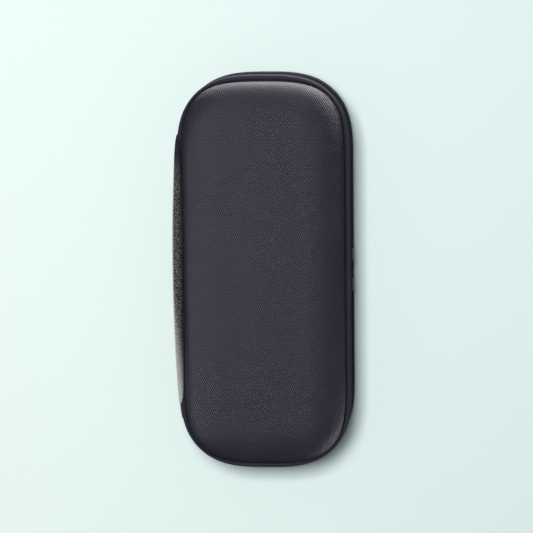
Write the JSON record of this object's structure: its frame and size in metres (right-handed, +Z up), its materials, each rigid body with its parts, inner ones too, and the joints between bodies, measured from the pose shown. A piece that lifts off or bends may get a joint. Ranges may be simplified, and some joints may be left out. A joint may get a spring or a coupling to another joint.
{
  "type": "glucose meter case",
  "caption": "Long rounded zip case with moulded cloth-covered shells, a webbing spine hinge, a zip round three sides, elastic loops and a net pocket, for a glucose meter and its supplies.",
  "frame": {"origin": "middle of the flat underside that the closed case lies on", "axes": "+Z up out of the lid, +Y along the case, +X towards the zip's front side, spine on the -X side"},
  "size_m": [0.0761, 0.168, 0.042],
  "materials": {
    "woven_cloth": "dark grey twill cloth, matt with a soft sheen",
    "foam": "closed-cell moulded foam, matt",
    "lining": "brushed knit lining, matt",
    "webbing": "coarse woven webbing",
    "zip_tape": "fine woven tape",
    "zip_nylon": "moulded nylon, slight gloss",
    "slider_metal": "die-cast, dark enamel",
    "elastic": "knitted elastic, matt",
    "net": "open net"
  },
  "bodies": {
    "base": {"base_cover": "woven_cloth", "base_foam": "foam", "base_lining": "lining", "base_binding": "webbing", "zipper_tape_lower": "zip_tape", "zipper_teeth_lower": "zip_nylon", "spine": "webbing", "meter_strap": "elastic", "vial_loop": "elastic"},
    "lid": {"lid_cover": "woven_cloth", "lid_foam": "foam", "lid_lining": "lining", "lid_binding": "webbing", "zipper_tape_upper": "zip_tape", "zipper_teeth_upper": "zip_nylon", "pocket_net": "net", "pocket_hem": "elastic", "lancing_loop_upper": "elastic", "lancing_loop_lower": "elastic"},
    "upper_slider": {"slider_upper": "slider_metal"},
    "upper_pull": {"pull_upper": "slider_metal"},
    "lower_slider": {"slider_lower": "slider_metal"},
    "lower_pull": {"pull_lower": "slider_metal"}
  },
  "joints": [
    {"name": "lid_hinge", "type": "hinge", "parent": "base", "child": "lid", "pos_m": [-0.03775, 0, 0.021], "axis": [0, -1, 0], "range_deg": [0, 180], "deforming": ["spine"]},
    {"name": "upper_slider_slide", "type": "slide", "parent": "base", "child": "upper_slider", "axis": [0, 1, 0], "range_m": [0, 0.038], "deforming": ["zipper_teeth_upper", "zipper_teeth_lower"]},
    {"name": "lower_slider_slide", "type": "slide", "parent": "base", "child": "lower_slider", "axis": [0, -1, 0], "range_m": [0, 0.038], "deforming": ["zipper_teeth_upper", "zipper_teeth_lower"]},
    {"name": "upper_pull_swing", "type": "hinge", "parent": "upper_slider", "child": "upper_pull", "pos_m": [0.0358, 0.0065, 0.021], "axis": [0, 0, -1], "range_deg": [0, 100]},
    {"name": "lower_pull_swing", "type": "hinge", "parent": "lower_slider", "child": "lower_pull", "pos_m": [0.0358, -0.0065, 0.021], "axis": [0, 0, 1], "range_deg": [0, 100]}
  ]
}
